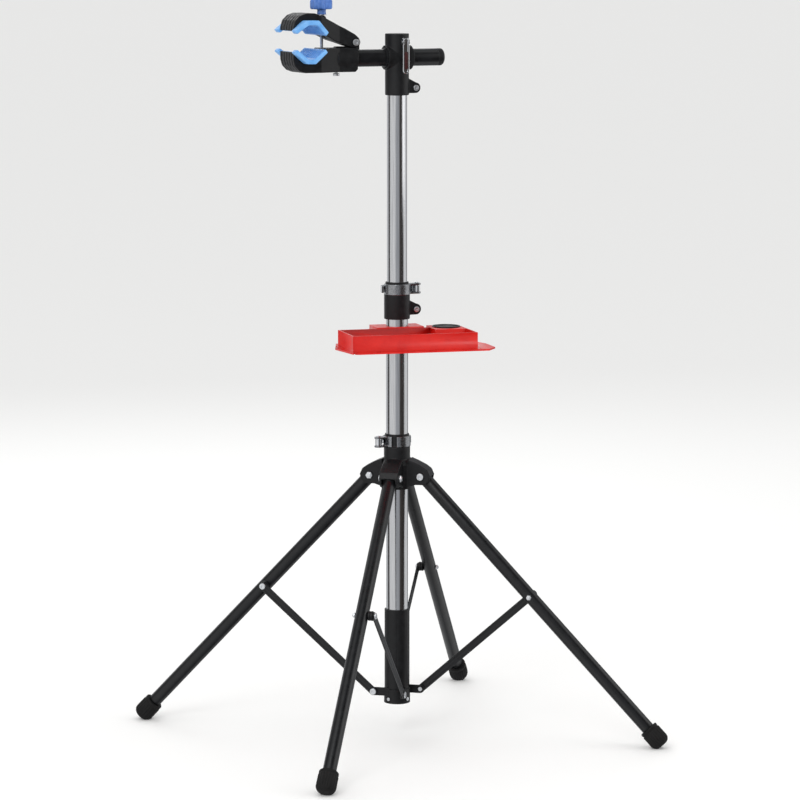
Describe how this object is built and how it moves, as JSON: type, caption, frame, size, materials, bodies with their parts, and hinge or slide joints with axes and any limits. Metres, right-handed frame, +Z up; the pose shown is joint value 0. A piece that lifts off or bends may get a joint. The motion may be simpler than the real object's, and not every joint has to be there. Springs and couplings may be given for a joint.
{
  "type": "bike repair stand",
  "caption": "Folding bike repair stand with a telescopic column, a turning padded clamp arm and a swivelling tool tray.",
  "frame": {"origin": "on the floor on the axis of the column", "axes": "+Z up the column; +X along the arm towards its free end, the clamp is on -X; -Y is the front, where the tool tray is"},
  "size_m": [0.8518, 0.8518, 1.407],
  "materials": {
    "stainless_tube": "drawn stainless tube, satin along its length",
    "black_moulding": "glass-filled nylon, fine moulded grain",
    "leg_coat": "black powder coat on steel tube",
    "leg_eye": "moulded nylon end",
    "stay_coat": "black coated steel strip",
    "foot_rubber": "ribbed black rubber",
    "zinc_fastener": "bright zinc plated steel",
    "stay_bolt": "black coated steel and nylon",
    "chrome_lever": "polished chrome plate",
    "ring_metal": "die-cast aluminium, satin",
    "inner_plastic": "acetal",
    "jaw_pad": "soft light blue moulded rubber",
    "knob_blue": "moulded blue plastic",
    "tray_red": "satin red moulded plastic",
    "magnet_black": "black lined magnet dish"
  },
  "bodies": {
    "column": {"lower_tube": "stainless_tube", "bottom_sleeve": "black_moulding", "bottom_hub": "black_moulding", "stay_foot_pins": "zinc_fastener", "hub_screws": "zinc_fastener", "middle_collar": "black_moulding", "middle_collar_screw": "zinc_fastener", "middle_ring": "ring_metal", "middle_ring_pin": "zinc_fastener"},
    "middle_lever": {"middle_ring_lever": "chrome_lever"},
    "crown": {"crown": "black_moulding", "leg_pivot_bolts": "zinc_fastener", "crown_ring": "ring_metal", "crown_ring_pin": "zinc_fastener"},
    "crown_lever": {"crown_ring_lever": "chrome_lever"},
    "back_leg": {"back_leg_tube": "leg_coat", "back_leg_eye": "leg_eye", "back_foot": "foot_rubber"},
    "back_stay": {"back_stay": "stay_coat", "back_stay_bolt": "stay_bolt"},
    "left_leg": {"left_leg_tube": "leg_coat", "left_leg_eye": "leg_eye", "left_foot": "foot_rubber"},
    "left_stay": {"left_stay": "stay_coat", "left_stay_bolt": "stay_bolt"},
    "front_leg": {"front_leg_tube": "leg_coat", "front_leg_eye": "leg_eye", "front_foot": "foot_rubber"},
    "front_stay": {"front_stay": "stay_coat", "front_stay_bolt": "stay_bolt"},
    "right_leg": {"right_leg_tube": "leg_coat", "right_leg_eye": "leg_eye", "right_foot": "foot_rubber"},
    "right_stay": {"right_stay": "stay_coat", "right_stay_bolt": "stay_bolt"},
    "slide_bush": {"glide_bush": "inner_plastic"},
    "mast": {"upper_tube": "stainless_tube", "head_block": "black_moulding", "head_pinch_screw": "zinc_fastener", "head_skewer": "zinc_fastener"},
    "head_lever": {"head_lever": "chrome_lever"},
    "arm_liner": {"arm_liner": "inner_plastic"},
    "arm": {"arm_tube": "leg_coat", "arm_end_cap": "black_moulding", "lower_jaw": "black_moulding", "lower_pad": "jaw_pad", "jaw_hinge_bolt": "zinc_fastener", "jaw_fixing_bolt": "zinc_fastener", "clamp_trunnion": "zinc_fastener", "clamp_rod": "zinc_fastener"},
    "upper_jaw": {"upper_jaw": "black_moulding", "upper_pad": "jaw_pad"},
    "thrust_washer": {"thrust_washer": "zinc_fastener"},
    "knob": {"clamp_knob": "knob_blue"},
    "tray": {"tool_tray": "tray_red", "magnetic_dish": "magnet_black", "tray_thumb_screw": "magnet_black"}
  },
  "joints": [
    {"name": "crown_slide", "type": "slide", "parent": "column", "child": "crown", "axis": [0, 0, 1], "range_m": [0, 0.148]},
    {"name": "back_leg_fold", "type": "hinge", "parent": "crown", "child": "back_leg", "pos_m": [0.03009, 0.03993, 0.504], "axis": [-0.7986, 0.6018, 0], "range_deg": [0, 25.06]},
    {"name": "back_stay_fold", "type": "hinge", "parent": "column", "child": "back_stay", "pos_m": [0.02467, 0.03274, 0.085], "axis": [-0.7986, 0.6018, 0], "range_deg": [-27.49, 0]},
    {"name": "left_leg_fold", "type": "hinge", "parent": "crown", "child": "left_leg", "pos_m": [-0.03993, 0.03009, 0.504], "axis": [-0.6018, -0.7986, 0], "range_deg": [0, 25.06]},
    {"name": "left_stay_fold", "type": "hinge", "parent": "column", "child": "left_stay", "pos_m": [-0.03274, 0.02467, 0.085], "axis": [-0.6018, -0.7986, 0], "range_deg": [-27.49, 0]},
    {"name": "front_leg_fold", "type": "hinge", "parent": "crown", "child": "front_leg", "pos_m": [-0.03009, -0.03993, 0.504], "axis": [0.7986, -0.6018, 0], "range_deg": [0, 25.06]},
    {"name": "front_stay_fold", "type": "hinge", "parent": "column", "child": "front_stay", "pos_m": [-0.02467, -0.03274, 0.085], "axis": [0.7986, -0.6018, 0], "range_deg": [-27.49, 0]},
    {"name": "right_leg_fold", "type": "hinge", "parent": "crown", "child": "right_leg", "pos_m": [0.03993, -0.03009, 0.504], "axis": [0.6018, 0.7986, 0], "range_deg": [0, 25.06]},
    {"name": "right_stay_fold", "type": "hinge", "parent": "column", "child": "right_stay", "pos_m": [0.03274, -0.02467, 0.085], "axis": [0.6018, 0.7986, 0], "range_deg": [-27.49, 0]},
    {"name": "middle_lever_cam", "type": "hinge", "parent": "column", "child": "middle_lever", "pos_m": [0.0406, 0, 0.86], "axis": [0, 0, -1], "range_deg": [0, 105]},
    {"name": "crown_lever_cam", "type": "hinge", "parent": "crown", "child": "crown_lever", "pos_m": [-0.04136, -0.00729, 0.57], "axis": [0, 0, 1], "range_deg": [0, 105]},
    {"name": "mast_height", "type": "slide", "parent": "column", "child": "slide_bush", "axis": [0, 0, 1], "range_m": [-0.3, 0.2]},
    {"name": "mast_turn", "type": "hinge", "parent": "slide_bush", "child": "mast", "pos_m": [0, 0, 0.476], "axis": [0, 0, 1], "continuous": true},
    {"name": "head_lever_cam", "type": "hinge", "parent": "mast", "child": "head_lever", "pos_m": [0.004, -0.031, 1.327], "axis": [-1, 0, 0], "range_deg": [0, 100]},
    {"name": "arm_turn", "type": "hinge", "parent": "mast", "child": "arm_liner", "pos_m": [0, 0, 1.297], "axis": [1, 0, 0], "continuous": true},
    {"name": "arm_slide", "type": "slide", "parent": "arm_liner", "child": "arm", "axis": [1, 0, 0], "range_m": [-0.055, 0.04]},
    {"name": "jaw_hinge", "type": "hinge", "parent": "arm", "child": "upper_jaw", "pos_m": [-0.091, 0, 1.327], "axis": [0, 1, 0], "range_deg": [-8, 8]},
    {"name": "washer_travel", "type": "slide", "parent": "arm", "child": "thrust_washer", "axis": [0, 0, 1], "range_m": [-0.0102, 0.0092]},
    {"name": "knob_turn", "type": "hinge", "parent": "thrust_washer", "child": "knob", "pos_m": [-0.152, 0, 1.39], "axis": [0, 0, 1], "continuous": true},
    {"name": "tray_swivel", "type": "hinge", "parent": "column", "child": "tray", "pos_m": [0, 0, 0.758], "axis": [0, 0, 1], "continuous": true}
  ],
  "couplings": [
    {"joint": "back_leg_fold", "follows": "crown_slide", "rad_per_m": 2.9541},
    {"joint": "back_stay_fold", "follows": "crown_slide", "rad_per_m": -3.2411},
    {"joint": "left_leg_fold", "follows": "crown_slide", "rad_per_m": 2.9541},
    {"joint": "left_stay_fold", "follows": "crown_slide", "rad_per_m": -3.2411},
    {"joint": "front_leg_fold", "follows": "crown_slide", "rad_per_m": 2.9541},
    {"joint": "front_stay_fold", "follows": "crown_slide", "rad_per_m": -3.2411},
    {"joint": "right_leg_fold", "follows": "crown_slide", "rad_per_m": 2.9541},
    {"joint": "right_stay_fold", "follows": "crown_slide", "rad_per_m": -3.2411},
    {"joint": "washer_travel", "follows": "jaw_hinge", "m_per_rad": 0.061}
  ]
}
